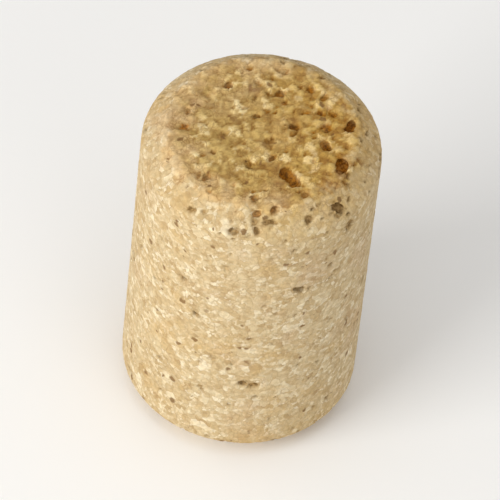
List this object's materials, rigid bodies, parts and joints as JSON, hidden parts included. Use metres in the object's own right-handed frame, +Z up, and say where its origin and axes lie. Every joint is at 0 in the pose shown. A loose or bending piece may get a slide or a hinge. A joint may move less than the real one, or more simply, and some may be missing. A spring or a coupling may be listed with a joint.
{
  "type": "cork stopper",
  "caption": "Cylindrical stopper of bonded cork granules, bevelled at both ends, that closes the neck of a bottle and stands on its end.",
  "frame": {"origin": "centre of the lower end face, on the surface that the stopper stands on", "axes": "+Z up along the stopper's axis; +X to the right and -Y towards the viewer who sees the deep torn pores of the upper end nearest"},
  "size_m": [0.024, 0.024, 0.038],
  "materials": {
    "cork": "matte, bonded cork granules with dark specks and small open pores"
  },
  "bodies": {
    "root": {"stopper": "cork"}
  },
  "joints": []
}
